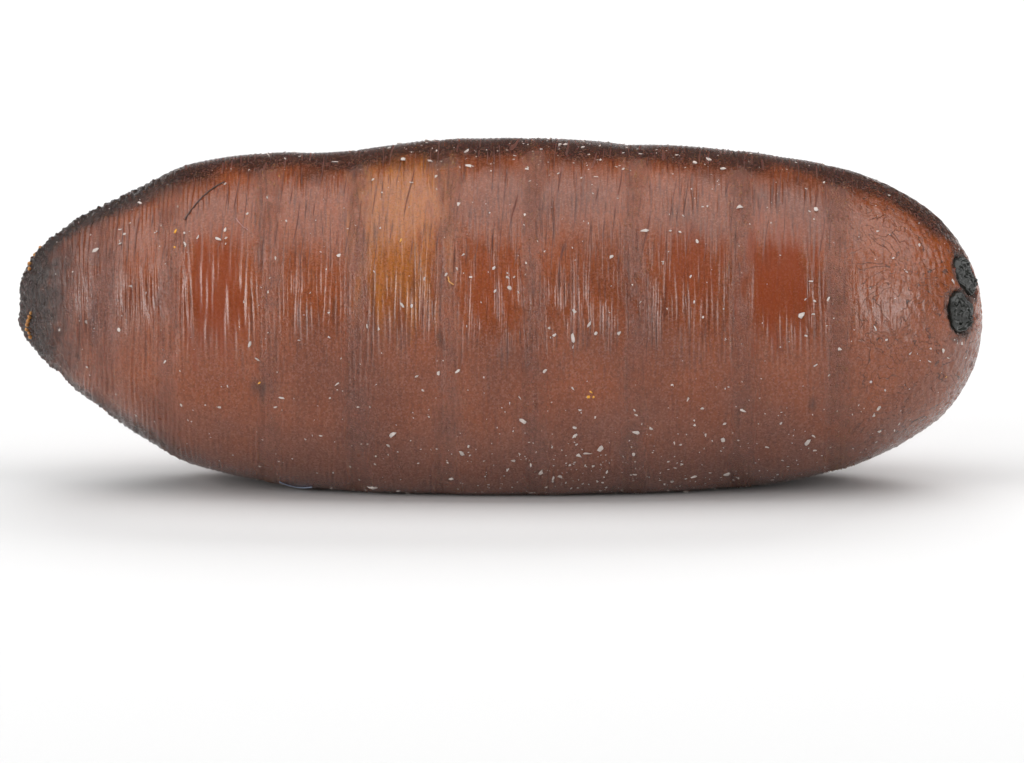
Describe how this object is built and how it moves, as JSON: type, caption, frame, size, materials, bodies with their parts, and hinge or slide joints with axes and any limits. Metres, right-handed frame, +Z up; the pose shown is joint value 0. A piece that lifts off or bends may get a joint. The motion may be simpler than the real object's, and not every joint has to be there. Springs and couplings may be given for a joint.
{
  "type": "housefly pupa",
  "caption": "Barrel-shaped housefly pupa lying on its side: a ringed, hardened red-brown skin that tapers to a dark front tip, with black breathing plates on its blunt rear end.",
  "frame": {"origin": "on the resting flat, under the middle of the body's box", "axes": "+X from the front tip to the rear end, +Z up from the resting flat, the insect's back faces -Y"},
  "size_m": [0.0064, 0.0024, 0.0023],
  "materials": {
    "puparium": "translucent red-brown cuticle, satin, finely wrinkled round the body, black at the front tip and on the rear breathing plates"
  },
  "bodies": {
    "root": {"puparium": "puparium"}
  },
  "joints": []
}
